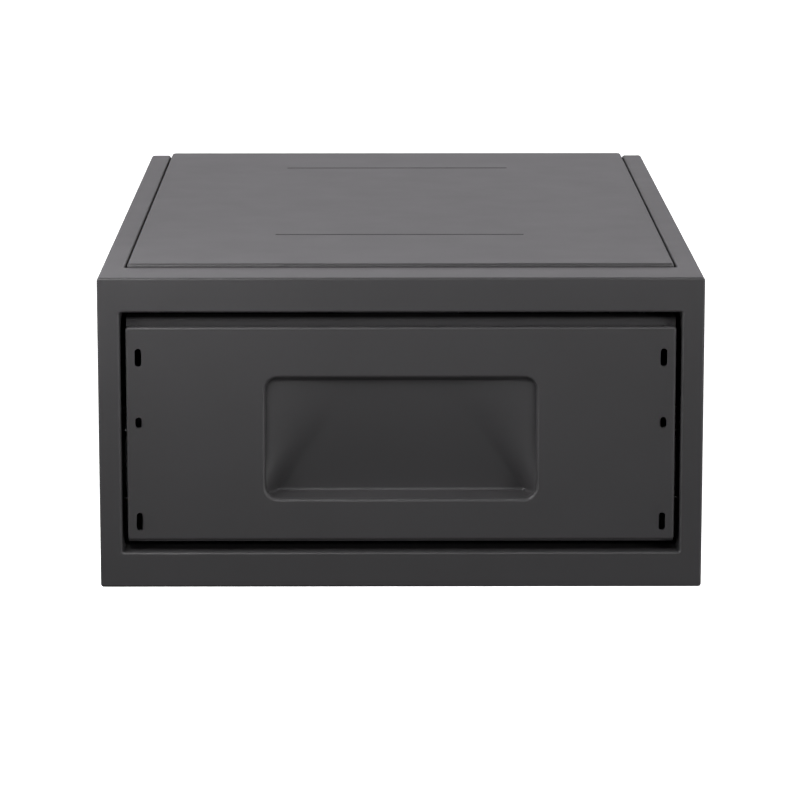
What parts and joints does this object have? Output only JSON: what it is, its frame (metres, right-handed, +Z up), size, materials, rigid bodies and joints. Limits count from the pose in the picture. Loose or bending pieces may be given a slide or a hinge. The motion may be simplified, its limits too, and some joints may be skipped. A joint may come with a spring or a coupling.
{
  "type": "under desk drawer safe",
  "caption": "Flat steel safe that hangs under a desk: a powder-coated cabinet with a top mounting plate and an inset drawer with a pressed finger scoop, on ball slides.",
  "frame": {"origin": "middle of the cabinet's underside, which is the plane it rests on when it isn't hung", "axes": "+Z up, +X to the right seen from the front, +Y towards the back; the drawer's front faces -Y"},
  "size_m": [0.38, 0.61, 0.2],
  "materials": {
    "powder_coated_steel": "fine-texture powder coat, satin, dark neutral grey",
    "zinc_plated_steel": "bright zinc plate, rolled",
    "bearing_steel": "plain hardened steel, lightly oiled",
    "black_screws": "black oxide, semi-matt",
    "black_plastic": "moulded ABS, fine spark texture"
  },
  "bodies": {
    "cabinet": {"back_panel": "powder_coated_steel", "back_screw_bottom_left": "black_screws", "back_screw_bottom_right": "black_screws", "back_screw_top_left": "black_screws", "back_screw_top_right": "black_screws", "cabinet_shell": "powder_coated_steel", "front_frame": "powder_coated_steel", "lock_case": "black_plastic", "lock_rail": "powder_coated_steel", "slide_bracket_front_left": "zinc_plated_steel", "slide_bracket_front_right": "zinc_plated_steel", "slide_bracket_rear_left": "zinc_plated_steel", "slide_bracket_rear_right": "zinc_plated_steel", "slide_buffer_left": "black_plastic", "slide_buffer_right": "black_plastic", "slide_outer_left": "zinc_plated_steel", "slide_outer_right": "zinc_plated_steel", "slide_screw_front_left": "black_screws", "slide_screw_front_right": "black_screws", "slide_screw_rear_left": "black_screws", "slide_screw_rear_right": "black_screws", "top_plate": "powder_coated_steel", "top_rail_left": "powder_coated_steel", "top_rail_right": "powder_coated_steel"},
    "drawer": {"drawer_fascia": "powder_coated_steel", "drawer_front_panel": "powder_coated_steel", "drawer_tray": "powder_coated_steel", "slide_inner_left": "zinc_plated_steel", "slide_inner_right": "zinc_plated_steel", "tray_rivet_front_left": "bearing_steel", "tray_rivet_front_right": "bearing_steel", "tray_rivet_rear_left": "bearing_steel", "tray_rivet_rear_right": "bearing_steel", "strike_bracket": "zinc_plated_steel"},
    "slide_middle_left": {"slide_middle_left": "zinc_plated_steel"},
    "outer_cage_left": {"outer_cage_left": "bearing_steel"},
    "inner_cage_left": {"inner_cage_left": "bearing_steel"},
    "slide_middle_right": {"slide_middle_right": "zinc_plated_steel"},
    "outer_cage_right": {"outer_cage_right": "bearing_steel"},
    "inner_cage_right": {"inner_cage_right": "bearing_steel"},
    "lock": {"lock_spindle": "bearing_steel", "lock_cam": "zinc_plated_steel", "cam_screw": "black_screws"}
  },
  "joints": [
    {"name": "drawer_slide", "type": "slide", "parent": "cabinet", "child": "drawer", "axis": [0, -1, 0], "range_m": [0, 0.5]},
    {"name": "slide_middle_left_run", "type": "slide", "parent": "cabinet", "child": "slide_middle_left", "axis": [0, -1, 0], "range_m": [0, 0.25]},
    {"name": "outer_cage_left_run", "type": "slide", "parent": "cabinet", "child": "outer_cage_left", "axis": [0, -1, 0], "range_m": [0, 0.125]},
    {"name": "inner_cage_left_run", "type": "slide", "parent": "cabinet", "child": "inner_cage_left", "axis": [0, -1, 0], "range_m": [0, 0.375]},
    {"name": "slide_middle_right_run", "type": "slide", "parent": "cabinet", "child": "slide_middle_right", "axis": [0, -1, 0], "range_m": [0, 0.25]},
    {"name": "outer_cage_right_run", "type": "slide", "parent": "cabinet", "child": "outer_cage_right", "axis": [0, -1, 0], "range_m": [0, 0.125]},
    {"name": "inner_cage_right_run", "type": "slide", "parent": "cabinet", "child": "inner_cage_right", "axis": [0, -1, 0], "range_m": [0, 0.375]},
    {"name": "lock_turn", "type": "hinge", "parent": "cabinet", "child": "lock", "pos_m": [0, -0.243, 0.16], "axis": [0, 0, 1], "range_deg": [0, 90]}
  ],
  "couplings": [
    {"joint": "slide_middle_left_run", "follows": "drawer_slide", "ratio": 0.5},
    {"joint": "outer_cage_left_run", "follows": "drawer_slide", "ratio": 0.25},
    {"joint": "inner_cage_left_run", "follows": "drawer_slide", "ratio": 0.75},
    {"joint": "slide_middle_right_run", "follows": "drawer_slide", "ratio": 0.5},
    {"joint": "outer_cage_right_run", "follows": "drawer_slide", "ratio": 0.25},
    {"joint": "inner_cage_right_run", "follows": "drawer_slide", "ratio": 0.75}
  ]
}
